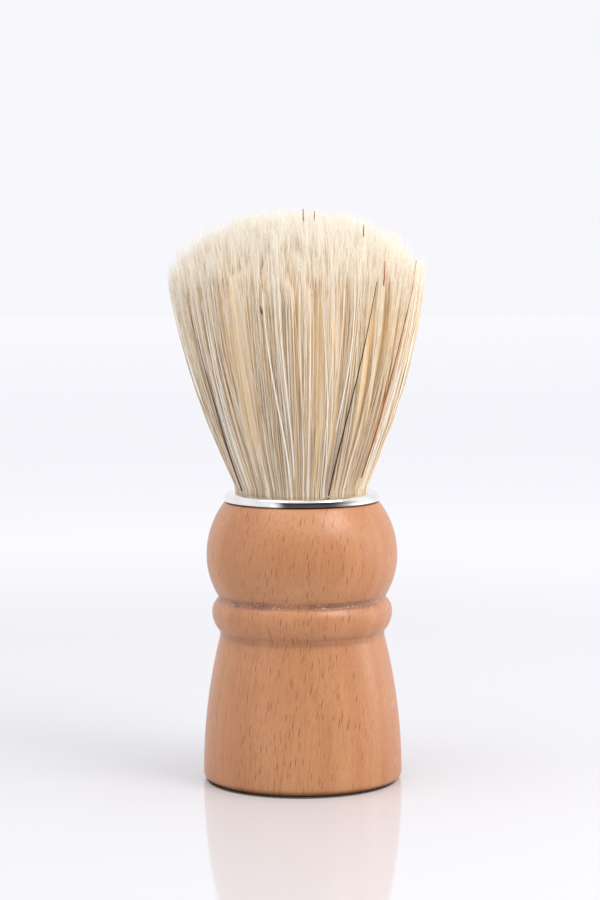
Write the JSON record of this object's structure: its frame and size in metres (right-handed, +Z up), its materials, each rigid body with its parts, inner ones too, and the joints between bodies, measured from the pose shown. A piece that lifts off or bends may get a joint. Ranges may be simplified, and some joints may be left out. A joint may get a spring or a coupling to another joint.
{
  "type": "shaving brush",
  "caption": "Shaving brush that stands on its foot: turned beech handle with a waist bead, polished trim ring and a flared bristle tuft that bends and springs back",
  "frame": {"origin": "middle of the flat foot of the handle, where the brush stands on a table", "axes": "+Z runs up the brush from the foot to the crown of the tuft; the brush is round about Z, and the tuft leans toward +X when its joint turns the positive way about +Y"},
  "size_m": [0.0474, 0.0474, 0.1084],
  "materials": {
    "beech": "satin",
    "nickel_plate": "polished",
    "glue": "satin",
    "resin": "gloss",
    "twine": "matte",
    "bristle_root": "matte",
    "bristle_belly": "matte",
    "bristle_tip": "matte"
  },
  "bodies": {
    "handle": {"handle": "beech", "trim_ring": "nickel_plate", "socket_glue": "glue", "resin_plug": "resin", "binding_cord": "twine", "bristle_roots": "bristle_root"},
    "tuft": {"bristle_belly": "bristle_belly", "bristle_tips": "bristle_tip"}
  },
  "joints": [
    {"name": "tuft_flex", "type": "hinge", "parent": "handle", "child": "tuft", "pos_m": [0, 0, 0.07207], "axis": [0, 1, 0], "range_deg": [-25, 25], "stiffness_Nm_per_rad": 0.13, "deforming": ["bristle_belly"]}
  ]
}
